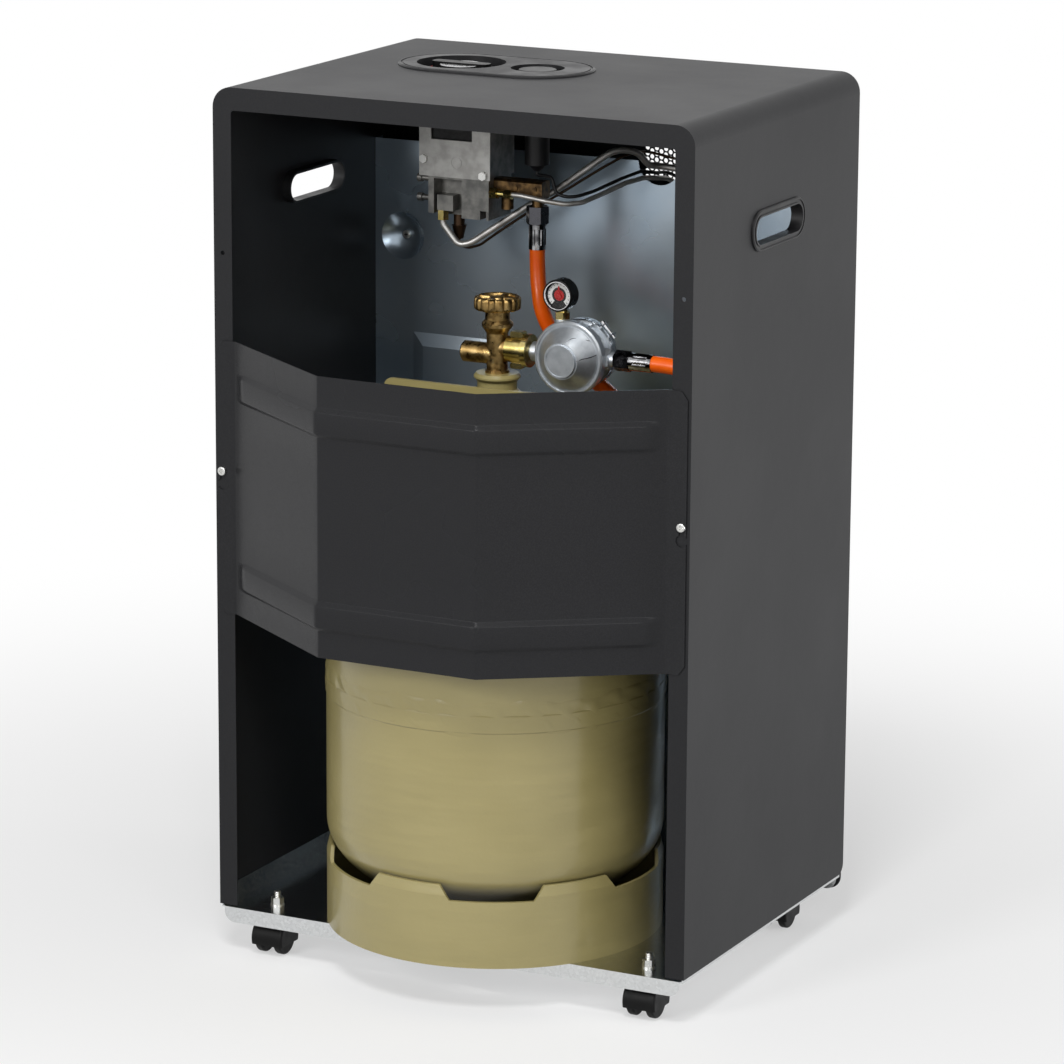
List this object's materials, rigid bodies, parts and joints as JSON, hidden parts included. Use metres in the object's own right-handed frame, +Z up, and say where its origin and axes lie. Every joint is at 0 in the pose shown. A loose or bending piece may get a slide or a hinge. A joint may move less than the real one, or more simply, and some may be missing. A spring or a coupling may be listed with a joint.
{
  "type": "portable gas cabinet heater",
  "caption": "Wheeled sheet-steel cabinet heater with an open rear that shows a gas bottle, its valve and regulator, an orange hose, the gas valve and a folded bottle guard.",
  "frame": {"origin": "on the floor, under the middle of the object's box", "axes": "+Z up, +Y out of the open rear with the gas bottle, -Y out of the burner side, +X to the left when seen from the rear"},
  "size_m": [0.465, 0.4645, 0.787],
  "materials": {
    "powder_coat": "fine-textured satin powder coat",
    "inner_powder_coat": "fine-textured satin powder coat",
    "galvanised": "galvanised sheet with faint spangle",
    "partition_steel": "bare rolled steel, faintly brushed",
    "zinc_plate": "zinc plated",
    "tube_steel": "drawn steel tube",
    "bottle_paint": "satin olive paint",
    "valve_brass": "dull cast brass",
    "bright_brass": "machined brass",
    "dark_brass": "dark cast brass",
    "regulator_zinc": "grey die casting",
    "valve_casting": "satin die casting",
    "dark_chrome": "dark nickel plate",
    "bright_chrome": "bright nickel plate",
    "hose_rubber": "smooth orange rubber",
    "black_plastic": "fine-grained moulding",
    "gloss_black": "glossy moulding",
    "castor_plastic": "moulded nylon",
    "wheel_plastic": "hard tread",
    "gauge_card": "printed card",
    "pointer_red": "painted",
    "gauge_glass": "clear",
    "ceramic": "unglazed ceramic",
    "porcelain": "glazed ceramic",
    "hot_steel": "heat-resistant steel"
  },
  "bodies": {
    "heater_cabinet": {"cabinet_wrap": "powder_coat", "base_tray": "galvanised", "partition_wall": "partition_steel", "front_panel": "inner_powder_coat", "burner_guard": "bright_chrome", "burner_housing": "hot_steel", "plaque_frame": "hot_steel", "gas_manifold": "tube_steel", "injectors": "bright_brass", "partition_screws": "zinc_plate", "pilot_burner": "hot_steel", "spark_electrode": "porcelain", "thermocouple": "bright_brass", "ignition_lead": "black_plastic", "main_gas_tube": "tube_steel", "pilot_gas_tube": "tube_steel", "tube_nuts": "bright_brass", "hand_grip_left": "black_plastic", "hand_grip_right": "black_plastic", "control_bezel": "black_plastic", "igniter_body": "black_plastic", "gas_valve_body": "valve_casting", "valve_cover_plate": "valve_casting", "valve_screws": "zinc_plate", "inlet_elbow": "dark_brass", "hose_nuts": "dark_chrome", "hose_ferrules": "bright_chrome", "gas_hose": "hose_rubber", "regulator_body": "regulator_zinc", "regulator_cover": "regulator_zinc", "regulator_clip": "bright_chrome", "gauge_stem": "bright_brass", "gauge_case": "gloss_black", "gauge_dial": "gauge_card", "gauge_lens": "gauge_glass", "bottle_shell": "bottle_paint", "bottle_foot_ring": "bottle_paint", "bottle_handle": "bottle_paint", "bottle_neck_ring": "bottle_paint", "bottle_valve_body": "valve_brass", "guard_screws": "zinc_plate", "castor_fixings": "zinc_plate", "plaque_right": "ceramic", "plaque_middle": "ceramic", "plaque_left": "ceramic"},
    "bottle_handwheel": {"bottle_handwheel": "valve_brass"},
    "castor_hood_front_left": {"castor_hood_front_left": "castor_plastic"},
    "castor_hood_front_right": {"castor_hood_front_right": "castor_plastic"},
    "castor_hood_rear_left": {"castor_hood_rear_left": "castor_plastic"},
    "castor_hood_rear_right": {"castor_hood_rear_right": "castor_plastic"},
    "castor_wheels_front_left": {"castor_wheels_front_left": "wheel_plastic"},
    "castor_wheels_front_right": {"castor_wheels_front_right": "wheel_plastic"},
    "castor_wheels_rear_left": {"castor_wheels_rear_left": "wheel_plastic"},
    "castor_wheels_rear_right": {"castor_wheels_rear_right": "wheel_plastic"},
    "control_knob": {"control_knob": "gloss_black"},
    "gauge_pointer": {"gauge_pointer": "pointer_red"},
    "igniter_button": {"igniter_button": "gloss_black"},
    "knob_spindle": {"knob_spindle": "zinc_plate"},
    "rear_guard": {"rear_guard": "powder_coat"},
    "union_nut": {"union_nut": "bright_brass"}
  },
  "joints": [
    {"name": "castor_swivel_rear_left", "type": "hinge", "parent": "heater_cabinet", "child": "castor_hood_rear_left", "pos_m": [0.185, 0.10975, 0.035], "axis": [0, 0, 1], "continuous": true},
    {"name": "castor_swivel_rear_right", "type": "hinge", "parent": "heater_cabinet", "child": "castor_hood_rear_right", "pos_m": [-0.185, 0.10975, 0.035], "axis": [0, 0, 1], "continuous": true},
    {"name": "castor_swivel_front_left", "type": "hinge", "parent": "heater_cabinet", "child": "castor_hood_front_left", "pos_m": [0.185, -0.17025, 0.035], "axis": [0, 0, 1], "continuous": true},
    {"name": "castor_swivel_front_right", "type": "hinge", "parent": "heater_cabinet", "child": "castor_hood_front_right", "pos_m": [-0.185, -0.17025, 0.035], "axis": [0, 0, 1], "continuous": true},
    {"name": "castor_roll_rear_left", "type": "hinge", "parent": "castor_hood_rear_left", "child": "castor_wheels_rear_left", "pos_m": [0.185, 0.11475, 0.015], "axis": [1, 0, 0], "continuous": true},
    {"name": "castor_roll_rear_right", "type": "hinge", "parent": "castor_hood_rear_right", "child": "castor_wheels_rear_right", "pos_m": [-0.185, 0.11475, 0.015], "axis": [1, 0, 0], "continuous": true},
    {"name": "castor_roll_front_left", "type": "hinge", "parent": "castor_hood_front_left", "child": "castor_wheels_front_left", "pos_m": [0.185, -0.16525, 0.015], "axis": [1, 0, 0], "continuous": true},
    {"name": "castor_roll_front_right", "type": "hinge", "parent": "castor_hood_front_right", "child": "castor_wheels_front_right", "pos_m": [-0.185, -0.16525, 0.015], "axis": [1, 0, 0], "continuous": true},
    {"name": "guard_lift", "type": "slide", "parent": "heater_cabinet", "child": "rear_guard", "axis": [0, 0, 1], "range_m": [0, 0.012]},
    {"name": "handwheel_turn", "type": "hinge", "parent": "heater_cabinet", "child": "bottle_handwheel", "pos_m": [-0.001, 0.04375, 0.589], "axis": [0, 0, 1], "range_deg": [0, 720]},
    {"name": "union_nut_turn", "type": "hinge", "parent": "heater_cabinet", "child": "union_nut", "pos_m": [-0.021, 0.04375, 0.561], "axis": [1, 0, 0], "range_deg": [0, 45]},
    {"name": "gauge_pointer_turn", "type": "hinge", "parent": "heater_cabinet", "child": "gauge_pointer", "pos_m": [-0.065, 0.05375, 0.6145], "axis": [0, -1, 0], "range_deg": [-135, 135], "stiffness_Nm_per_rad": 0.0002},
    {"name": "knob_press", "type": "slide", "parent": "heater_cabinet", "child": "knob_spindle", "axis": [0, 0, -1], "range_m": [0, 0.005], "stiffness_N_per_m": 800, "springref_m": -0.004},
    {"name": "knob_turn", "type": "hinge", "parent": "knob_spindle", "child": "control_knob", "pos_m": [0.102, -0.08475, 0.785], "axis": [0, 0, 1], "range_deg": [0, 210]},
    {"name": "igniter_press", "type": "slide", "parent": "heater_cabinet", "child": "igniter_button", "axis": [0, 0, -1], "range_m": [0, 0.005], "stiffness_N_per_m": 600, "springref_m": -0.004}
  ]
}
